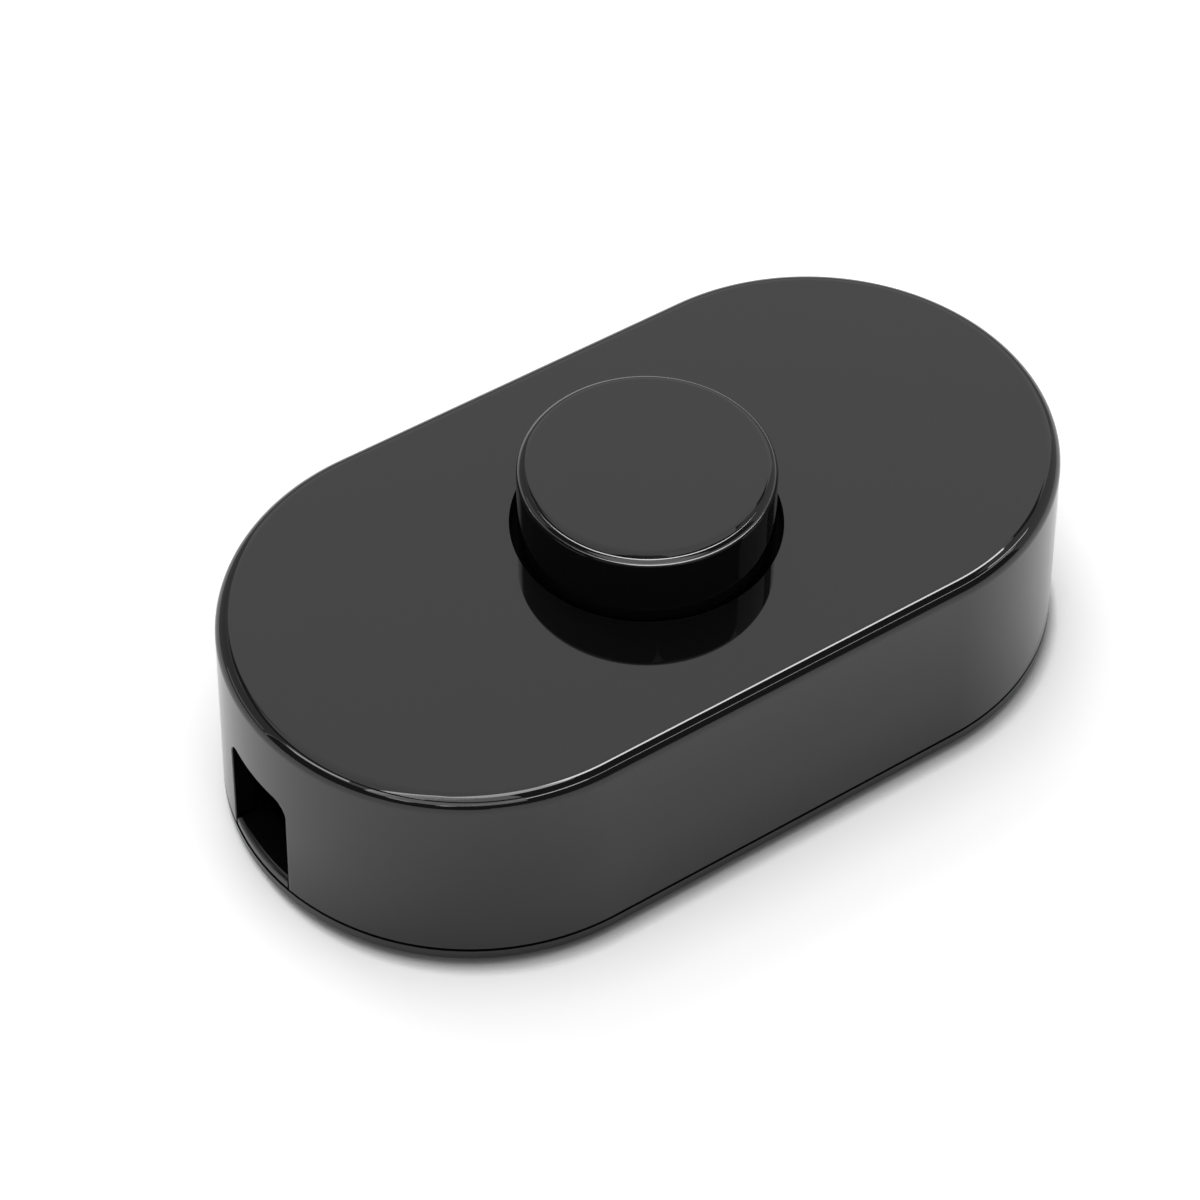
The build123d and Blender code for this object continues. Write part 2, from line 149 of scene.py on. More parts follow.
# Lamps that only the gloss mirrors: two corners in the rig's plan, in metres, the brightness, and the piece
# that mirrors the lamp, where it isn't every piece
GLOSS_LAMPS = (
    ("back_panel", (-0.10, 0.00), (1.30, 1.20), 0.1, None),
    ("near_line", (0.10, -0.10), (0.45, 0.06), 14, "cover"),
    ("end_line", (-0.49, -0.15), (0.10, 0.03), 6, "cover"),
    ("corner_run", (-1.20, -0.15), (-0.68, 0.03), 4, "cover"),
    ("corner_line", (-1.45, -0.42), (-1.20, -0.20), 5, "cover"),
    ("front_line", (-1.30, -0.76), (0.00, -0.65), 8, "cover"),
    ("right_line", (0.00, -0.72), (0.75, -0.66), 6, "cover"),
    ("right_corner", (0.42, -0.53), (0.80, -0.46), 8, "cover"),
    ("left_line", (-0.80, 0.15), (-0.60, 0.55), 5, "cover"),
    ("button_panel", (-0.10, 0.00), (1.30, 1.20), 0.2, "button"),
    ("button_front", (-0.34, -0.42), (0.34, -0.06), 1.05, "button"),
)

# Sheets over the switch that the gloss mirrors: their inner and outer radius in metres, the angles in the
# rig's plan between which they lie, their brightness, and the piece that mirrors them, where it isn't every
# piece. The button's wall mirrors the shell's top, and in it what lies between the radii of the dark sheets,
# so they keep it black
GLOSS_SHEETS = (
    ("end_fill", (0.16, 0.485), (-178, -118), 1.8, "cover"),
    ("corner_fill", (0.63, 1.30), (-180, -118), 2.0, "cover"),
    ("left_shade", (0.485, 0.63), (75, 187), 0.1, None),
    ("right_shade", (0.485, 0.63), (-7, 12), 0.1, None),
)

# Bands of light on the camera's side of the button: the angles above its rim between which they lie, half of
# the angle that they take up round it, and their brightness
BUTTON_BANDS = ((-22, -12, 100, 12), (-12, 36, 45, 2), (36, 44, 100, 16))
BAND_RADIUS = 0.06

# Dark arch over the front: its size, and the angles from the back's horizon at which it starts and ends
FLAG_RADIUS = 2.5
FLAG_HALF_LENGTH = 4.0
FLAG_START, FLAG_END = math.radians(95.7), math.radians(176)

# Walls of the room that the gloss mirrors: their ends in plan, their lower and upper edges, in metres, and
# their brightness
ROOM_WALLS = (
    ("side_flag", (-0.60, 0.30), (-0.25, 0.71), (0.0, 0.65), 0.4),
    ("side_line", (-0.57, 0.31), (-0.38, 0.54), (0.12, 0.17), 1.4),
    ("corner_flag", (-0.25, 0.71), (0.10, 1.12), (0.0, 1.30), 0.4),
    ("left_flag", (-1.5, -3.0), (-1.5, 0.75), (0.0, 0.95), 0.1),
    ("back_flag", (-4.0, 2.6), (4.0, 2.6), (0.0, 1.0), 0.45),
    ("right_flag", (2.0, -1.0), (2.0, 2.6), (0.0, 0.8), 0.45),
    ("near_flag", (0.9, -0.6), (0.9, 0.22), (0.0, 1.35), 0.55),
)


def linear(hex_colour):
    """An sRGB hex colour such as #1a2b3c as linear red, green and blue, by the curve of that standard."""
    channels = [int(hex_colour[i:i + 2], 16) / 255 for i in (1, 3, 5)]
    return tuple(c / 12.92 if c <= 0.04045 else ((c + 0.055) / 1.055) ** 2.4 for c in channels)


def rgba(colour):
    """A linear colour with full opacity, as a node's socket takes it."""
    return (*colour, 1.0)


def colour_property(name, description, hex_colour):
    """A colour that the panel shows, with its default as sRGB hex."""
    return bpy.props.FloatVectorProperty(
        name=name, description=description, subtype="COLOR", size=3, min=0, max=1, default=linear(hex_colour)
    )


def length_property(name, description, metres):
    """A length that the panel shows."""
    return bpy.props.FloatProperty(
        name=name, description=description, unit="LENGTH", precision=5, default=metres
    )


def angle_property(name, description, degrees):
    """An angle that the panel shows."""
    return bpy.props.FloatProperty(
        name=name, description=description, subtype="ANGLE", default=math.radians(degrees)
    )


def level_property(name, description, level):
    """A plain number, such as a brightness."""
    return bpy.props.FloatProperty(name=name, description=description, min=0, precision=3, default=level)


def place_property(name, description, metres):
    """A point in the studio."""
    return bpy.props.FloatVectorProperty(
        name=name, description=description, subtype="TRANSLATION", size=3, default=metres
    )


class SizeSettings(bpy.types.PropertyGroup):
    """Sizes of the shell and the button that the boxes of the frame don't give."""

    draft: angle_property("Draft", "Lean of the shell's walls", 1.9)
    wall: length_property("Wall", "Thickness of the shell's wall", 2.0 * MM)
    roof: length_property("Roof", "Thickness of the shell's roof", 2.0 * MM)
    top_radius: length_property("Top edge", "Radius of the shell's top edge", 1.5 * MM)
    seam_break: length_property("Seam edge", "Radius of the shell's lower outer edge", 0.12 * MM)
    hole_radius: length_property("Button hole", "Radius of the button hole", 12.35 * MM)
    hole_break: length_property("Hole edge", "Radius of the button hole's upper edge", 0.05 * MM)
    notch_width: length_property("Notch width", "Width of the cable notches", 9.2 * MM)
    notch_drop: length_property("Notch drop", "From the shell's top to the notches", 8.1 * MM)
    notch_radius: length_property("Notch corner", "Radius of the notches' corners", 1.6 * MM)
    notch_break: length_property("Notch edge", "Radius of the notches' outer edge", 0.15 * MM)
    boss_radius: length_property("Boss", "Radius of the screw bosses under the roof", 3.35 * MM)
    boss_bottom: length_property("Boss foot", "Height of the bosses' lower ends", 4.5 * MM)
    bore_radius: length_property("Boss bore", "Radius of the bosses' screw bores", 1.5 * MM)
    bore_top: length_property("Boss bore top", "Height of the screw bores' blind ends", 12.4 * MM)
    screw_head: length_property("Screw head", "Radius of the housing screws' heads", 2.75 * MM)
    button_radius: length_property("Button", "Radius of the push button", 11.65 * MM)
    button_edge: length_property("Button edge", "Radius of the button's top edge", 1.1 * MM)
    button_wall: length_property("Button wall", "Thickness of the button's wall", 1.6 * MM)
    button_roof: length_property("Button roof", "Thickness of the button's top", 2.0 * MM)
    flange_height: length_property("Flange", "Thickness of the button's retaining flange", 1.5 * MM)
    socket_outer: length_property("Socket", "Outer radius of the button's sleeve socket", 8.55 * MM)
    socket_inner: length_property("Socket bore", "Inner radius of the sleeve socket", 7.32 * MM)
    socket_depth: length_property("Socket depth", "Depth of the sleeve socket", 3.0 * MM)
    spring_wire: length_property("Spring wire", "Thickness of the return spring's wire", 0.8 * MM)
    spring_turns: bpy.props.IntProperty(
        name="Spring turns", description="Turns of the return spring", min=1, default=5
    )


class FinishSettings(bpy.types.PropertyGroup):
    """Colours and pattern sizes of the materials."""

    abs_colour: colour_property("ABS", "Colour of the moulded housing and button", "#0a0a0b")
    abs_flow_colour: colour_property("ABS flow", "Colour where the resin flowed last", "#0d0d0e")
    abs_flow: length_property("ABS flow size", "Spacing of the faint flow marks", 18 * MM)
    # The same border also fades in the painted shade on the button's flange
    abs_border: length_property("ABS polish border", "Width over which the tool's polish fades out", 0.1 * MM)
    abs_wave: length_property("ABS wave size", "Spacing of the polished tool's slight waves", 9 * MM)
    nylon_colour: colour_property("Nylon", "Colour of the carrier and the clamps", "#1b1c1e")
    fibre_colour: colour_property("Nylon fibre", "Colour of the glass fibres under its skin", "#2b2c2f")
    fibre_size: length_property("Nylon fibre size", "Spacing of the fibres, coarser than real", 0.3 * MM)
    acetal_colour: colour_property("Acetal", "Colour of the sliding pieces", "#dedbd2")
    acetal_shade: colour_property("Acetal cloud", "Second tone of the sliding pieces", "#d3cfc4")
    acetal_cloud: length_property("Acetal cloud size", "Spacing of the cloudy tones", 6 * MM)
    rubber_colour: colour_property("Rubber", "Colour of the feet", "#1a1a1b")
    rubber_shade: colour_property("Rubber bloom", "Colour of the feet where bloom shows", "#262627")
    rubber_bloom: length_property("Rubber bloom size", "Spacing of the bloom", 4 * MM)
    rubber_grain: length_property("Rubber grain", "Spacing of the rubber's grain", 0.4 * MM)
    zinc_colour: colour_property("Zinc", "Bluish tone of the plated screws", "#b3b9c0")
    zinc_shade: colour_property("Zinc straw", "Straw tone of the plated screws", "#bfbdb3")
    zinc_crystal: length_property("Zinc crystal", "Spacing of the plating's crystals", 0.4 * MM)
    steel_colour: colour_property("Steel", "Colour of the spring, the axle and its clip", "#8d9095")
    steel_shade: colour_property("Steel shade", "Darker tone of the spring steel", "#7b7e83")
    steel_line: length_property("Steel line", "Spacing of the drawing lines", 0.2 * MM)
    brass_colour: colour_property("Brass", "Colour of the terminals, the link and the bridge", "#d6b56c")
    brass_shade: colour_property("Brass tarnish", "Warmer tone of the tarnished brass", "#c29a55")
    brass_line: length_property("Brass line", "Spacing of the cutter lines, coarser than real", 0.25 * MM)
    bronze_colour: colour_property("Bronze", "Colour of the contact leaves", "#c08c5e")
    bronze_shade: colour_property("Bronze shade", "Darker tone of the contact leaves", "#a8744b")
    bronze_line: length_property("Bronze line", "Spacing of the rolling lines", 0.2 * MM)
    silver_colour: colour_property("Silver", "Colour of the contact rivets", "#e6e4df")
    silver_shade: colour_property("Silver sulphide", "Colour of the rivets where sulphide shows", "#cfc6b6")
    silver_spot: length_property("Silver spot", "Spacing of the silver's dull spots", 0.3 * MM)


class StudioSettings(bpy.types.PropertyGroup):
    """Floor, lamps and camera."""

    floor_colour: colour_property("Floor", "Colour of the paper floor", "#e6e6e6")
    floor_size: length_property("Floor size", "Side of the square floor", 8.0)
    fibre_size: length_property("Paper fibre", "Spacing of the paper's faint mottling", 3 * MM)
    floor_seen: level_property("Floor exposure", "Brightness of the floor to the eye", 1.57)
    floor_gloss: level_property("Floor in gloss", "Brightness of the floor that the gloss mirrors", 1.28)
    contact_near: length_property("Near contact", "Reach of the shadow under the near edge", 1.8 * MM)
    contact_far: length_property("Far contact", "Reach of the shadow from the middle on", 0.7 * MM)
    room_level: level_property("Room light", "Brightness of the room on plain surfaces", 0.62)
    flag_gloss: level_property("Flag in gloss", "Brightness of the dark front of the room in the gloss", 0.1)
    rig_turn: angle_property("Rig turn", "Turn of the lamps and the flag round the switch", 15.5)
    lamp_height: length_property("Lamp height", "Height of the lamps that the gloss mirrors", 0.62)
    back_place: place_property("Back light", "Centre of the soft light behind the switch", (0.15, 0.75, 0.85))
    back_size: length_property("Back light size", "Side of the soft light behind the switch", 0.7)
    back_level: level_property("Back light level", "Brightness that it gives a white card", 0.28)
    top_place: place_property("Top light", "Centre of the soft light above the switch", (0.0, 0.05, 1.1))
    top_size: length_property("Top light size", "Side of the soft light above the switch", 0.7)
    top_level: level_property("Top light level", "Brightness that it gives a white card", 0.28)
    view_azimuth: angle_property("Azimuth", "Turn of the camera round the switch", -33.83)
    view_elevation: angle_property("Elevation", "Height of the camera as an angle", 47.76)
    view_distance: length_property("Distance", "From the lens to the shell's top", 0.3359)
    aim_right: length_property("Aim right", "Picture centre, right of the shell's centre", -4.18 * MM)
    aim_up: length_property("Aim up", "Picture centre, above the shell's centre", -7.22 * MM)
    lens: bpy.props.FloatProperty(
        name="Lens", description="Focal length on a 36 mm sensor", unit="CAMERA", default=112.04
    )


# Mesh building


def arc(centre, radius, first, last, steps):
    """Points of an arc in a section, between two angles in radians."""
    points = []
    for step in range(steps + 1):
        angle = first + (last - first) * step / steps
        points.append((centre[0] + radius * math.cos(angle), centre[1] + radius * math.sin(angle)))
    return points


def between(first, last, steps):
    """Evenly spaced points of a straight run in a section, without its ends."""
    shares = [step / steps for step in range(1, steps)]
    return [(first[0] + (last[0] - first[0]) * s, first[1] + (last[1] - first[1]) * s) for s in shares]


def stations(spine, end_steps, side_steps):
    """Points on a stadium's spine and the outward directions there, once round; a circle has no spine."""
    found = []
    for side in (1, -1):
        for step in range(end_steps):
            angle = math.pi * (step / end_steps - side / 2)
            found.append((Vector((side * spine, 0)), Vector((math.cos(angle), math.sin(angle)))))
        for step in range(side_steps):
            found.append((Vector((side * spine * (1 - 2 * step / side_steps), 0)), Vector((0, side))))
    return found


def ring(around, reach, height, place=(0, 0)):
    """Loop of points at one distance from the spine and one height."""
    spots = [Vector(place) + spot + way * reach for spot, way in around]
    return [(spot.x, spot.y, height) for spot in spots]


def round_ring(around, reach, radius, height):
    """Circle whose points lie in line with those of the stadium's loop at a reach."""
    spots = [(spot + way * reach).normalized() * radius for spot, way in around]
    return [(spot.x, spot.y, height) for spot in spots]


def loft(name, rings, closed=False):
    """Skin through loops of equal count, which closes on itself or has a flat cap at each end."""
    shape = bmesh.new()
    loops = [[shape.verts.new(point) for point in points] for points in rings]
    pairs = list(zip(loops, loops[1:]))
    if closed:
        pairs.append((loops[-1], loops[0]))
    else:
        shape.faces.new(loops[0])
        shape.faces.new(loops[-1])
    for lower, upper in pairs:
        for here in range(len(lower)):
            after = (here + 1) % len(lower)
            shape.faces.new((lower[here], lower[after], upper[after], upper[here]))
    bmesh.ops.recalc_face_normals(shape, faces=shape.faces)
    if shape.calc_volume(signed=True) < 0:
        bmesh.ops.reverse_faces(shape, faces=shape.faces)
    mesh = bpy.data.meshes.new(name)
    shape.to_mesh(mesh)
    shape.free()
    piece = bpy.data.objects.new(name, mesh)
    bpy.context.scene.collection.objects.link(piece)
    return piece


def rod(name, radius, bottom, top, place):
    """Upright round solid, used to add to a piece or cut it."""
    around = stations(0, ROUND_STEPS, 0)
    return loft(name, [ring(around, radius, height, place) for height in (bottom, top)])


def combine(piece, tools, operation):
    """Joins tools to a piece or cuts them out of it, and deletes them."""
    for tool in tools:
        modifier = piece.modifiers.new(tool.name, "BOOLEAN")
        modifier.object = tool
        modifier.operation = operation
        modifier.solver = "EXACT"
    graph = bpy.context.evaluated_depsgraph_get()
    rough = piece.data
    piece.data = bpy.data.meshes.new_from_object(piece.evaluated_get(graph))
    piece.data.name = piece.name
    piece.modifiers.clear()
    bpy.data.meshes.remove(rough)
    for tool in tools:
        bpy.data.objects.remove(tool)
    if not piece.data.polygons:
        raise RuntimeError(f"{piece.name} came out empty")


def smooth(piece):
    """Smooth shading that keeps flats flat and edges over an angle sharp."""
    piece.data.shade_smooth()
    piece.data.set_sharp_from_angle(angle=SHARP_FROM)
    weighted = piece.modifiers.new("flat_faces", "WEIGHTED_NORMAL")
    weighted.keep_sharp = True
    weighted.weight = LARGE_FACES


# Shell


def wall_reach(setback, height):
    """Distance of a drafted wall from the spine at a height."""
    sizes = bpy.context.scene.switch_sizes
    return base_high.y - setback - (height - cover_low.z) * math.tan(sizes.draft)


def shell_skin():
    """Outside, button hole and inside of the shell as one closed skin."""
    sizes = bpy.context.scene.switch_sizes
    around = stations(base_high.x - base_high.y, END_STEPS, SIDE_STEPS)
    draft, low, top = sizes.draft, cover_low.z, cover_high.z
    ceiling = top - sizes.roof
    upright = math.pi / 2

    edge = sizes.seam_break
    seam_reach = base_high.y - edge * (1 + math.sin(draft)) / math.cos(draft)
    section = arc((seam_reach, low + edge), edge, -upright, draft, BREAK_STEPS)
    radius = sizes.top_radius
    fillet_z = top - radius
    fillet_reach = base_high.y - (radius + (fillet_z - low) * math.sin(draft)) / math.cos(draft)
    fillet = arc((fillet_reach, fillet_z), radius, draft, upright, FILLET_STEPS)
    section += between(section[-1], fillet[0], WALL_ROWS) + fillet
    rings = [ring(around, reach, height) for reach, height in section]

    edge = sizes.hole_break
    hole = arc((sizes.hole_radius + edge, top - edge), edge, upright, math.pi, BREAK_STEPS)
    hole.append((sizes.hole_radius, ceiling))
    rings += [round_ring(around, fillet_reach, reach, height) for reach, height in hole]

    inside = [(wall_reach(sizes.wall, height), height) for height in (ceiling, low)]
    inside = [inside[0], *between(*inside, WALL_ROWS), inside[1]]
    rings += [ring(around, reach, height) for reach, height in inside]
    return loft("cover", rings, closed=True)


def notch_outline(grow):
    """Cable notch seen along the switch, as points across and up, grown outwards by a margin."""
    sizes = bpy.context.scene.switch_sizes
    half, radius = sizes.notch_width / 2, sizes.notch_radius
    corner = (half - radius, cover_high.z - sizes.notch_drop - radius)
    below = cover_low.z - CUT_MARGIN
    right = arc(corner, radius + grow, 0, math.pi / 2, FILLET_STEPS)
    right = [(half + grow, below), *between((half + grow, below), right[0], WALL_ROWS), *right]
    left = [(-across, up) for across, up in reversed(right)]
    return right + between(right[-1], left[0], FILLET_STEPS) + left


def notch_cutter(side):
    """Solid that cuts one cable notch, with a mouth that leaves a rounded edge on the wall."""
    sizes = bpy.context.scene.switch_sizes
    spine, edge = base_high.x - base_high.y, sizes.notch_break
    mouth = arc((edge, edge), edge, -math.pi / 2, -math.pi, BREAK_STEPS)
    rings = []
    for grow, depth in [(edge, -CUT_MARGIN), *mouth, (0, sizes.wall + CUT_MARGIN)]:
        points = []
        for across, up in notch_outline(grow):
            out = spine + math.sqrt(wall_reach(0, up) ** 2 - across ** 2) - depth
            points.append((side * out, across, up))
        rings.append(points)
    return loft("notch", rings)


def housing_screw_places():
    """Axes of the two screws that close the housing, from their heads' box."""
    head = bpy.context.scene.switch_sizes.screw_head
    x, y = screws_high.x - head, screws_low.y + head
    return [(x, y), (-x, -y)]


def stand_in(piece, body, node, material):
    """Hands a new piece its body, the node that it stands for and its material."""
    piece.data.materials.clear()
    piece.data.materials.append(material)
    smooth(piece)
    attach(piece, body)
    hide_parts(node)


class SWITCH_OT_cover(bpy.types.Operator):
    """Build the gloss upper shell with its button hole, cable notches and screw bosses"""

    bl_idname = "switch.cover"
    bl_label = "Cover"

    def execute(self, context):
        sizes = context.scene.switch_sizes
        cover = shell_skin()
        in_roof = cover_high.z - sizes.roof / 2
        places = housing_screw_places()
        bosses = [rod("boss", sizes.boss_radius, sizes.boss_bottom, in_roof, place) for place in places]
        combine(cover, bosses, "UNION")
        below = sizes.boss_bottom - CUT_MARGIN
        cuts = [rod("bore", sizes.bore_radius, below, sizes.bore_top, place) for place in places]
        cuts += [notch_cutter(side) for side in (-1, 1)]
        combine(cover, cuts, "DIFFERENCE")
        stand_in(cover, "housing", "cover_shell", gloss_abs("abs_cover"))
        return {"FINISHED"}


class SWITCH_OT_button(bpy.types.Operator):
    """Build the gloss push button with its rounded rim, retaining flange and sleeve socket"""

    bl_idname = "switch.button"
    bl_label = "Button"

    def execute(self, context):
        sizes = context.scene.switch_sizes
        radius, edge = sizes.button_radius, sizes.button_edge
        top, bottom = button_high.z, button_low.z
        inner = radius - sizes.button_wall
        roof = top - sizes.button_roof
        flange_top = bottom + sizes.flange_height
        socket = roof - sizes.socket_depth
        section = arc((radius - edge, top - edge), edge, math.pi / 2, 0, FILLET_STEPS)
        section += between(section[-1], (radius, flange_top), WALL_ROWS)
        section += [(radius, flange_top), (button_high.x, flange_top), (button_high.x, bottom)]
        section += [(inner, bottom), (inner, roof), (sizes.socket_outer, roof), (sizes.socket_outer, socket)]
        section += [(sizes.socket_inner, socket), (sizes.socket_inner, roof)]
        around = stations(0, END_STEPS, 0)
        button = loft("button", [ring(around, reach, height) for reach, height in section])
        # Below this height the flange is rough, and its specular level is turned down as painted shade for
        # the gap round the button
        dull_and_shaded_below = flange_top + context.scene.switch_finish.abs_border * BORDERS_UP
        finish = gloss_abs("abs_button", dull_and_shaded_below)
        stand_in(button, "button", "push_button", finish)
        return {"FINISHED"}


# Return spring


def coil(name, radius, bottom, top, wire, turns):
    """Round wire that winds up about the vertical axis, anticlockwise from the X axis."""
    steps = turns * ROUND_STEPS
    slope = math.atan2(top - bottom, 2 * math.pi * radius * turns)
    rings = []
    for step in range(steps + 1):
        angle = 2 * math.pi * step / ROUND_STEPS
        out = Vector((math.cos(angle), math.sin(angle), 0))
        along = Vector((-out.y, out.x, 0)) * math.cos(slope) + Vector((0, 0, math.sin(slope)))
        up = out.cross(along)
        middle = out * radius + Vector((0, 0, bottom + (top - bottom) * step / steps))
        section = arc((0, 0), wire / 2, 0, 2 * math.pi, WIRE_STEPS)[:-1]
        rings.append([tuple(middle + out * across + up * rise) for across, rise in section])
    return loft(name, rings)


class SWITCH_OT_spring(bpy.types.Operator):
    """Build the return spring, and finish the axle and its clip"""

    bl_idname = "switch.spring"
    bl_label = "Spring"

    def execute(self, context):
        sizes = context.scene.switch_sizes
        wire, steel = sizes.spring_wire, spring_steel()
        radius = spring_high.x - wire / 2
        bottom, top = spring_low.z + wire / 2, spring_high.z - wire / 2
        spring = coil("spring", radius, bottom, top, wire, sizes.spring_turns)
        stand_in(spring, "housing", "return_spring", steel)
        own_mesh(spring)
        dress(["rotor_axle", "axle_clip"], steel)
        return {"FINISHED"}


# Materials


def add_node(tree, kind, inputs=None, **settings):
    """Adds a node, sets its own settings and fills or links its inputs."""
    node = tree.nodes.new(kind)
    for name, value in settings.items():
        setattr(node, name, value)
    for name, value in (inputs or {}).items():
        if isinstance(value, bpy.types.NodeSocket):
            tree.links.new(value, node.inputs[name])
        else:
            node.inputs[name].default_value = value
    return node


def new_material(name):
    """An empty node material, with its tree and its surface coordinates in metres."""
    material = bpy.data.materials.new(name)
    material.use_nodes = True
    tree = material.node_tree
    tree.nodes.clear()
    place = add_node(tree, "ShaderNodeTexCoord").outputs["Object"]
    return material, tree, place


def two_tone(tree, tones, colours, shine, roughness):
    """Shader inputs for a colour between two tones and a roughness between two values, each by a pattern."""
    mixed = {SHARE: tones, COLOUR_A: rgba(colours[0]), COLOUR_B: rgba(colours[1])}
    colour = add_node(tree, "ShaderNodeMix", mixed, data_type="RGBA")
    spread = {"Value": shine, "To Min": roughness[0], "To Max": roughness[1]}
    rough = add_node(tree, "ShaderNodeMapRange", spread)
    return {"Base Color": colour.outputs[COLOUR_OUT], "Roughness": rough.outputs["Result"]}


def gloss_abs(name, dull_and_shaded_below=None):
    """ABS from a polished mould: near black, with a mirror's gloss and a trace of waviness.

    Where a height is given, the mould was polished only above it, so what lies below is rough, and its
    specular level is turned down there as painted shade for the dark gap round the button.
    """
    finish = bpy.context.scene.switch_finish
    material, tree, place = new_material(name)
    flow_marks = {"Vector": place, "Scale": 1 / finish.abs_flow, "Detail": SOME_DETAIL}
    flow = add_node(tree, "ShaderNodeTexNoise", flow_marks).outputs["Fac"]
    slight_waves = {"Vector": place, "Scale": 1 / finish.abs_wave, "Detail": LITTLE_DETAIL}
    wave = add_node(tree, "ShaderNodeTexNoise", slight_waves).outputs["Fac"]
    waviness = {"Height": wave, "Strength": WAVE_STRENGTH, "Distance": BUMP_HEIGHT}
    bump = add_node(tree, "ShaderNodeBump", waviness)
    skin = two_tone(tree, flow, (finish.abs_colour, finish.abs_flow_colour), flow, ABS_ROUGHNESS)
    if dull_and_shaded_below is not None:
        height = add_node(tree, "ShaderNodeSeparateXYZ", {"Vector": place}).outputs["Z"]
        border = {"Value": height, "From Min": dull_and_shaded_below - finish.abs_border, "From Max": dull_and_shaded_below}
        roughness = {**border, "To Min": DULL_ROUGHNESS, "To Max": skin["Roughness"]}
        # The low specular level below the height is painted shade, which keeps the gap round the button dark
        mirror = {**border, "To Min": FLANGE_SHADE_LEVEL, "To Max": POLISHED_LEVEL}
        skin["Roughness"] = add_node(tree, "ShaderNodeMapRange", roughness).outputs["Result"]
        skin["Specular IOR Level"] = add_node(tree, "ShaderNodeMapRange", mirror).outputs["Result"]
    inputs = {**skin, "Normal": bump.outputs["Normal"], "IOR": ABS_IOR}
    surface = add_node(tree, "ShaderNodeBsdfPrincipled", inputs)
    add_node(tree, "ShaderNodeOutputMaterial", {"Surface": surface.outputs[0]})
    return material


def filled_nylon():
    """Glass-filled nylon: charcoal with a satin skin, and short pale fibres that just show through it."""
    finish = bpy.context.scene.switch_finish
    material, tree, place = new_material("filled_nylon")
    # Real fibres are about a hundredth of a millimetre across, so they are drawn coarser to show at all
    along = add_node(tree, "ShaderNodeMapping", {"Vector": place, "Scale": FIBRE_STRETCH}).outputs["Vector"]
    fibres = {"Vector": along, "Scale": 1 / finish.fibre_size, "Detail": SOME_DETAIL}
    fibre = add_node(tree, "ShaderNodeTexNoise", fibres).outputs["Fac"]
    showing = {"Value": fibre, "From Min": FIBRE_FROM, "From Max": FIBRE_FULL}
    shown = add_node(tree, "ShaderNodeMapRange", showing).outputs["Result"]
    skin = two_tone(tree, shown, (finish.nylon_colour, finish.fibre_colour), fibre, NYLON_ROUGHNESS)
    surface = add_node(tree, "ShaderNodeBsdfPrincipled", {**skin, "IOR": NYLON_IOR})
    add_node(tree, "ShaderNodeOutputMaterial", {"Surface": surface.outputs[0]})
    return material


def natural_acetal():
    """Natural acetal: milky off-white, waxy rather than shiny, and light gets a little way into it."""
    finish = bpy.context.scene.switch_finish
    material, tree, place = new_material("natural_acetal")
    clouds = {"Vector": place, "Scale": 1 / finish.acetal_cloud, "Detail": SOME_DETAIL}
    cloud = add_node(tree, "ShaderNodeTexNoise", clouds).outputs["Fac"]
    skin = two_tone(tree, cloud, (finish.acetal_colour, finish.acetal_shade), cloud, ACETAL_ROUGHNESS)
    scatter = {"Subsurface Weight": SCATTER_SHARE, "Subsurface Scale": SCATTER_DEPTH}
    surface = add_node(tree, "ShaderNodeBsdfPrincipled", {**skin, **scatter, "IOR": ACETAL_IOR})
    add_node(tree, "ShaderNodeOutputMaterial", {"Surface": surface.outputs[0]})
    return material


def moulded_rubber():
    """Moulded rubber: soft black without a mirror, greyer where bloom has come to the surface."""
    finish = bpy.context.scene.switch_finish
    material, tree, place = new_material("moulded_rubber")
    blooming = {"Vector": place, "Scale": 1 / finish.rubber_bloom, "Detail": FINE_DETAIL}
    bloom = add_node(tree, "ShaderNodeTexNoise", blooming).outputs["Fac"]
    grain = add_node(tree, "ShaderNodeTexNoise", {"Vector": place, "Scale": 1 / finish.rubber_grain})
    grit = {"Height": grain.outputs["Fac"], "Strength": GRAIN_STRENGTH, "Distance": BUMP_HEIGHT}
    bump = add_node(tree, "ShaderNodeBump", grit)
    skin = two_tone(tree, bloom, (finish.rubber_colour, finish.rubber_shade), bloom, RUBBER_ROUGHNESS)
    surface = add_node(tree, "ShaderNodeBsdfPrincipled", {**skin, "Normal": bump.outputs["Normal"]})
    add_node(tree, "ShaderNodeOutputMaterial", {"Surface": surface.outputs[0]})
    return material


def worked_metal(name, colours, grain, stretch, roughness):
    """Bare metal between two tones, with working lines that run along the stretch and vary its shine."""
    material, tree, place = new_material(name)
    along = add_node(tree, "ShaderNodeMapping", {"Vector": place, "Scale": stretch}).outputs["Vector"]
    working = {"Vector": along, "Scale": 1 / grain, "Detail": FINE_DETAIL}
    lines = add_node(tree, "ShaderNodeTexNoise", working).outputs["Fac"]
    toning = {"Vector": place, "Scale": 1 / (METAL_PATCH * grain), "Detail": SOME_DETAIL}
    patches = add_node(tree, "ShaderNodeTexNoise", toning).outputs["Fac"]
    skin = two_tone(tree, patches, colours, lines, roughness)
    surface = add_node(tree, "ShaderNodeBsdfPrincipled", {**skin, "Metallic": 1.0})
    add_node(tree, "ShaderNodeOutputMaterial", {"Surface": surface.outputs[0]})
    return material


def zinc_plate():
    """Bright zinc on steel: cool grey with a breath of blue and straw, and fine crystals that dull it."""
    finish = bpy.context.scene.switch_finish
    colours = (finish.zinc_colour, finish.zinc_shade)
    return worked_metal("zinc_plate", colours, finish.zinc_crystal, EVEN, ZINC_ROUGHNESS)


def spring_steel():
    """Drawn steel wire: darker grey, with a shine that breaks into fine lines."""
    finish = bpy.context.scene.switch_finish
    colours = (finish.steel_colour, finish.steel_shade)
    return worked_metal("spring_steel", colours, finish.steel_line, ALONG_Z, STEEL_ROUGHNESS)


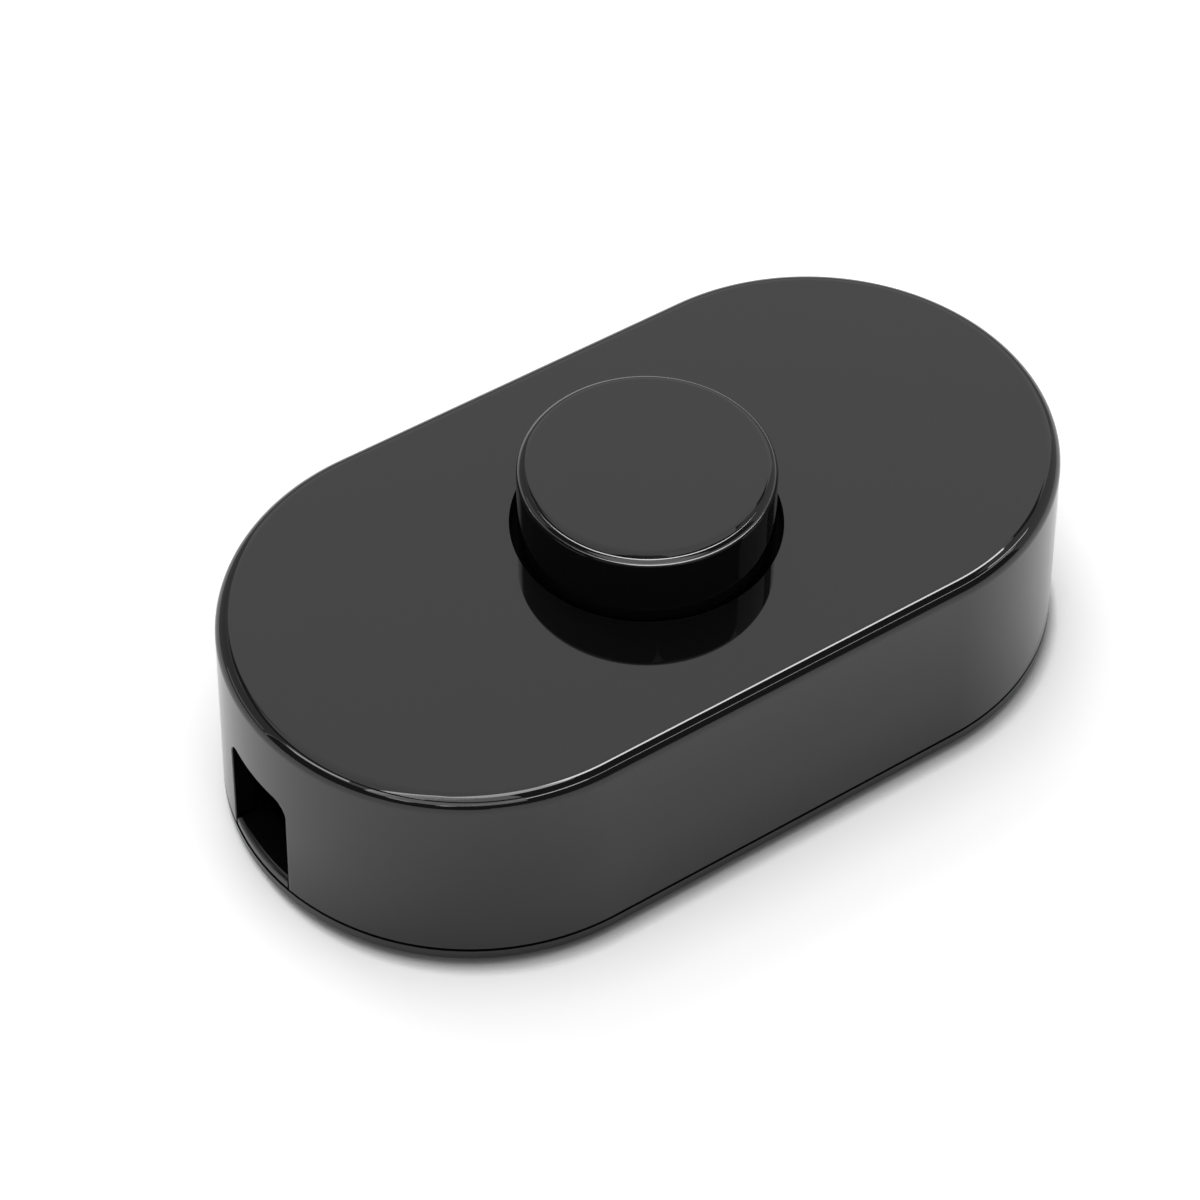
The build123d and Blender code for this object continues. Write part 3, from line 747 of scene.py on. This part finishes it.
def machined_brass():
    """Machined brass: yellow, with cutter lines across it and warmer patches of tarnish."""
    finish = bpy.context.scene.switch_finish
    colours = (finish.brass_colour, finish.brass_shade)
    return worked_metal("machined_brass", colours, finish.brass_line, ALONG_Y, BRASS_ROUGHNESS)


def rolled_bronze():
    """Phosphor bronze strip: pinker than brass, with rolling lines along its length."""
    finish = bpy.context.scene.switch_finish
    colours = (finish.bronze_colour, finish.bronze_shade)
    return worked_metal("rolled_bronze", colours, finish.bronze_line, ALONG_X, BRONZE_ROUGHNESS)


def contact_silver():
    """Contact silver: nearly white, with faint brown sulphide."""
    finish = bpy.context.scene.switch_finish
    colours = (finish.silver_colour, finish.silver_shade)
    return worked_metal("contact_silver", colours, finish.silver_spot, EVEN, SILVER_ROUGHNESS)


def dress(nodes, material):
    """Gives pieces of the frame one material."""
    for name in nodes:
        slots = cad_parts[name].data.materials
        slots.clear()
        slots.append(material)


class SWITCH_OT_base(bpy.types.Operator):
    """Finish the gloss base plate"""

    bl_idname = "switch.base"
    bl_label = "Base"

    def execute(self, context):
        dress(["base_plate"], gloss_abs("abs_base"))
        return {"FINISHED"}


class SWITCH_OT_feet(bpy.types.Operator):
    """Finish the rubber feet"""

    bl_idname = "switch.feet"
    bl_label = "Feet"

    def execute(self, context):
        dress(["grip_feet"], moulded_rubber())
        return {"FINISHED"}


class SWITCH_OT_fasteners(bpy.types.Operator):
    """Finish the plated screws of the housing, the carrier, the terminals and the clamps"""

    bl_idname = "switch.fasteners"
    bl_label = "Fasteners"

    def execute(self, context):
        dress(["housing_screws", "frame_screws", "terminal_screws", "clamp_screws"], zinc_plate())
        return {"FINISHED"}


class SWITCH_OT_mechanism(bpy.types.Operator):
    """Finish the carrier, the clamps and the sliding pieces"""

    bl_idname = "switch.mechanism"
    bl_label = "Mechanism"

    def execute(self, context):
        dress(["switch_frame", "cord_clamp_in", "cord_clamp_out"], filled_nylon())
        dress(["drive_sleeve", "ratchet_rotor"], natural_acetal())
        return {"FINISHED"}


class SWITCH_OT_contacts(bpy.types.Operator):
    """Finish the terminals, the link, the bridge, the leaves and the rivets"""

    bl_idname = "switch.contacts"
    bl_label = "Contacts"

    def execute(self, context):
        dress(["line_in_terminal", "line_out_terminal", "neutral_link", "contact_star"], machined_brass())
        dress(["line_in_leaf", "line_out_leaf"], rolled_bronze())
        dress(["contact_rivets"], contact_silver())
        return {"FINISHED"}


# Studio


def area_lamp(name, place, size_x, size_y, power):
    """Rectangular lamp that faces straight down, with its sides along X and Y, unseen by the camera."""
    data = bpy.data.lights.new(name, "AREA")
    data.shape = "RECTANGLE"
    data.size, data.size_y = size_x, size_y
    data.energy = power
    lamp = bpy.data.objects.new(name, data)
    lamp.location = place
    lamp.visible_camera = False
    bpy.context.scene.collection.objects.link(lamp)
    return lamp


def soft_light(name, place, size, level):
    """Square softbox that faces the switch, lights plain surfaces to a level and stays out of the gloss."""
    power = level * math.pi ** 2 * Vector(place).length_squared
    lamp = area_lamp(name, place, size, size, power)
    lamp.rotation_euler = Vector(place).to_track_quat("Z", "Y").to_euler()
    lamp.visible_glossy = False


def only_for(light, piece_name):
    """Lets a light show in one piece's gloss alone."""
    mirror = bpy.data.collections.new(light.name + "_mirror")
    mirror.objects.link(bpy.data.objects[piece_name])
    light.light_linking.receiver_collection = mirror


def gloss_lamp(name, low, high, radiance, piece_name):
    """Level lamp between two corners in the rig's plan, which shows only as a shape in the gloss."""
    studio = bpy.context.scene.switch_studio
    turn = Matrix.Rotation(studio.rig_turn, 4, "Z")
    size_x, size_y = high[0] - low[0], high[1] - low[1]
    middle = Vector(((low[0] + high[0]) / 2, (low[1] + high[1]) / 2, studio.lamp_height))
    lamp = area_lamp(name, turn @ middle, size_x, size_y, radiance * math.pi * size_x * size_y)
    lamp.rotation_euler.z = studio.rig_turn
    lamp.visible_diffuse = False
    if piece_name:
        only_for(lamp, piece_name)


def stage_mesh(name, verts, faces, material):
    """A mesh of the studio that isn't part of the switch."""
    mesh = bpy.data.meshes.new(name)
    mesh.from_pydata(verts, [], faces)
    mesh.materials.append(material)
    obj = bpy.data.objects.new(name, mesh)
    bpy.context.scene.collection.objects.link(obj)
    return obj


def ray_level(tree, plain, seen):
    """A plain level for light that falls on things, and another for each kind of ray that sees it."""
    rays = add_node(tree, "ShaderNodeLightPath")
    level = plain
    for kind, value in seen.items():
        mixed = {SHARE: rays.outputs[kind], NUMBER_A: level, NUMBER_B: value}
        level = add_node(tree, "ShaderNodeMix", mixed).outputs[NUMBER_OUT]
    return level


def paper_floor():
    """Matt paper, pale in the light that it gives back, exposed to white for the eye and the gloss, with a
    contact shadow round the switch painted into its colour.
    """
    studio = bpy.context.scene.switch_studio
    material, tree, place = new_material("white_paper")
    mottle = add_node(tree, "ShaderNodeTexNoise", {"Vector": place, "Scale": 1 / studio.fibre_size})
    low, high = PAPER_ROUGHNESS
    spread = {"Value": mottle.outputs["Fac"], "To Min": low, "To Max": high}
    rough = add_node(tree, "ShaderNodeMapRange", spread)
    seen = {
        "Is Glossy Ray": studio.floor_gloss,
        "Is Transmission Ray": studio.floor_seen,
        "Is Camera Ray": studio.floor_seen,
    }
    # The contact shadow is painted into the floor's colour from ambient occlusion; the lamps stand behind, so
    # the painted shadow in the gap under the edge is widest on the near side
    near_to_middle = {
        "Value": add_node(tree, "ShaderNodeSeparateXYZ", {"Vector": place}).outputs["Y"],
        "From Min": base_low.y,
        "From Max": 0.0,
        "To Min": studio.contact_near,
        "To Max": studio.contact_far,
    }
    reach = {"Distance": add_node(tree, "ShaderNodeMapRange", near_to_middle).outputs["Result"]}
    contact = add_node(tree, "ShaderNodeAmbientOcclusion", reach, samples=SHADOW_SAMPLES)
    shadow_to_open = {
        "Value": contact.outputs["AO"],
        "From Min": SHADOW_FULL,
        "From Max": SHADOW_END,
        "To Min": SHADOW_LEVEL,
        "To Max": ray_level(tree, WHITE_LEVEL, seen),
    }
    shade = add_node(tree, "ShaderNodeMapRange", shadow_to_open, interpolation_type="SMOOTHSTEP")
    mixed = {SHARE: 1.0, COLOUR_A: rgba(studio.floor_colour), COLOUR_B: shade.outputs["Result"]}
    colour = add_node(tree, "ShaderNodeMix", mixed, data_type="RGBA", blend_type="MULTIPLY")
    inputs = {"Color": colour.outputs[COLOUR_OUT], "Roughness": rough.outputs["Result"]}
    surface = add_node(tree, "ShaderNodeBsdfDiffuse", inputs)
    add_node(tree, "ShaderNodeOutputMaterial", {"Surface": surface.outputs[0]})
    half = studio.floor_size / 2
    corners = [(-half, -half, 0), (half, -half, 0), (half, half, 0), (-half, half, 0)]
    stage_mesh("paper_floor", corners, [(0, 1, 2, 3)], material)


def glow(name, verts, faces, radiance, clear):
    """Plain sheet of light that only the gloss sees, and sees through where it is clear."""
    material, tree, _ = new_material(name)
    surface = add_node(tree, "ShaderNodeEmission", {"Color": WHITE, "Strength": radiance})
    if clear:
        through = add_node(tree, "ShaderNodeBsdfTransparent")
        surface = add_node(tree, "ShaderNodeAddShader", {0: surface.outputs[0], 1: through.outputs[0]})
    add_node(tree, "ShaderNodeOutputMaterial", {"Surface": surface.outputs[0]})
    sheet = stage_mesh(name, verts, faces, material)
    sheet.visible_camera = False
    sheet.visible_diffuse = False
    sheet.visible_shadow = False
    sheet.visible_transmission = False
    return sheet


def strip(count):
    """Faces of a strip between two rows of points that take turns."""
    return [(2 * i, 2 * i + 1, 2 * i + 3, 2 * i + 2) for i in range(count)]


def dark_flags():
    """Dark arch over the front of the studio and walls round it, which shape the gloss."""
    studio = bpy.context.scene.switch_studio
    points = arc((0, 0), FLAG_RADIUS, FLAG_START, FLAG_END, FILLET_STEPS)
    verts = [(x, y, z) for y, z in points for x in (-FLAG_HALF_LENGTH, FLAG_HALF_LENGTH)]
    arch = glow("front_flag", verts, strip(FILLET_STEPS), studio.flag_gloss, False)
    arch.rotation_euler.z = studio.rig_turn
    for name, start, end, edges, radiance in ROOM_WALLS:
        verts = [(*place, z) for place in (start, end) for z in edges]
        glow(name, verts, strip(1), radiance, False)


def gloss_sheets():
    """Clear sheets of light that join the bright lines at the near end, and dark ones beside the button."""
    studio = bpy.context.scene.switch_studio
    for name, radii, angles, radiance, piece_name in GLOSS_SHEETS:
        first, last = (studio.rig_turn + math.radians(angle) for angle in angles)
        edges = [arc((0, 0), radius, first, last, FILLET_STEPS) for radius in radii]
        verts = [(*point, studio.lamp_height) for pair in zip(*edges) for point in pair]
        sheet = glow(name, verts, strip(FILLET_STEPS), radiance, bool(piece_name))
        if piece_name:
            only_for(sheet, piece_name)


def button_bands():
    """Bands of light round the button's near side, which draw the bright lines on its rim."""
    studio = bpy.context.scene.switch_studio
    reach = BAND_RADIUS - button_high.x
    for number, (low, high, half, radiance) in enumerate(BUTTON_BANDS):
        facing, half = studio.view_azimuth - math.pi / 2, math.radians(half)
        points = arc((0, 0), BAND_RADIUS, facing - half, facing + half, ROUND_STEPS)
        verts = []
        for step, (x, y) in enumerate(points):
            taper = math.sin(math.pi * step / ROUND_STEPS)
            for way in (-1, 1):
                angle = math.radians((low + high + way * taper * (high - low)) / 2)
                verts.append((x, y, button_high.z + reach * math.tan(angle)))
        band = glow(f"button_band_{number}", verts, strip(ROUND_STEPS), radiance, True)
        only_for(band, "button")


def white_world():
    """White to the eye and in the gloss, and a plain level of light on everything else."""
    studio = bpy.context.scene.switch_studio
    world = bpy.data.worlds.new("white_room")
    bpy.context.scene.world = world
    world.use_nodes = True
    tree = world.node_tree
    tree.nodes.clear()
    kinds = ("Is Glossy Ray", "Is Transmission Ray", "Is Camera Ray")
    strength = ray_level(tree, studio.room_level, dict.fromkeys(kinds, WHITE_LEVEL))
    light = add_node(tree, "ShaderNodeBackground", {"Color": WHITE, "Strength": strength})
    add_node(tree, "ShaderNodeOutputWorld", {"Surface": light.outputs[0]})


def studio_camera():
    """Camera at the photograph's angle, with the switch where it stands in the frame."""
    studio = bpy.context.scene.switch_studio
    azimuth, elevation = studio.view_azimuth, studio.view_elevation
    back = Vector((
        math.sin(azimuth) * math.cos(elevation),
        -math.cos(azimuth) * math.cos(elevation),
        math.sin(elevation),
    ))
    right = Vector((math.cos(azimuth), math.sin(azimuth), 0))
    up = back.cross(right)
    shell_top = Vector((0, 0, cover_high.z))
    data = bpy.data.cameras.new("camera")
    data.lens = studio.lens
    data.sensor_width = SENSOR_WIDTH
    data.clip_start, data.clip_end = SEEN_FROM, SEEN_TO
    camera = bpy.data.objects.new("camera", data)
    camera.location = shell_top + back * studio.view_distance + right * studio.aim_right + up * studio.aim_up
    camera.rotation_mode = "QUATERNION"
    camera.rotation_quaternion = back.to_track_quat("Z", "Y")
    bpy.context.scene.collection.objects.link(camera)
    bpy.context.scene.camera = camera


class SWITCH_OT_stage(bpy.types.Operator):
    """Make the floor, the lamps and the camera"""

    bl_idname = "switch.stage"
    bl_label = "Stage"

    def execute(self, context):
        studio = context.scene.switch_studio
        context.scene.view_settings.view_transform = "Standard"
        paper_floor()
        dark_flags()
        gloss_sheets()
        button_bands()
        white_world()
        soft_light("back_light", studio.back_place, studio.back_size, studio.back_level)
        soft_light("top_light", studio.top_place, studio.top_size, studio.top_level)
        for name, low, high, radiance, piece_name in GLOSS_LAMPS:
            gloss_lamp(name, low, high, radiance, piece_name)
        studio_camera()
        return {"FINISHED"}


class SWITCH_PT_panel(bpy.types.Panel):
    """The switch's operators and settings"""

    bl_label = "Foot switch"
    bl_idname = "SWITCH_PT_panel"
    bl_space_type = "VIEW_3D"
    bl_region_type = "UI"
    bl_category = "Foot switch"

    def draw(self, context):
        for operator in OPERATORS:
            self.layout.operator(operator.bl_idname)
        scene = context.scene
        for settings in (scene.switch_sizes, scene.switch_finish, scene.switch_studio):
            for name in settings.__annotations__:
                self.layout.prop(settings, name)


OPERATORS = (
    SWITCH_OT_cover,
    SWITCH_OT_button,
    SWITCH_OT_spring,
    SWITCH_OT_base,
    SWITCH_OT_feet,
    SWITCH_OT_fasteners,
    SWITCH_OT_mechanism,
    SWITCH_OT_contacts,
    SWITCH_OT_stage,
)
CLASSES = (SizeSettings, FinishSettings, StudioSettings, *OPERATORS, SWITCH_PT_panel)


def register():
    """Adds the classes and the scene's settings to Blender."""
    for cls in CLASSES:
        bpy.utils.register_class(cls)
    bpy.types.Scene.switch_sizes = bpy.props.PointerProperty(type=SizeSettings)
    bpy.types.Scene.switch_finish = bpy.props.PointerProperty(type=FinishSettings)
    bpy.types.Scene.switch_studio = bpy.props.PointerProperty(type=StudioSettings)


def unregister():
    """Takes the settings and the classes out again."""
    del bpy.types.Scene.switch_studio
    del bpy.types.Scene.switch_finish
    del bpy.types.Scene.switch_sizes
    for cls in reversed(CLASSES):
        bpy.utils.unregister_class(cls)


def main():
    """Builds the switch and its stage."""
    register()
    bpy.ops.switch.cover()
    bpy.ops.switch.button()
    bpy.ops.switch.spring()
    bpy.ops.switch.base()
    bpy.ops.switch.feet()
    bpy.ops.switch.fasteners()
    bpy.ops.switch.mechanism()
    bpy.ops.switch.contacts()
    bpy.ops.switch.stage()


if __name__ == "__main__":
    main()
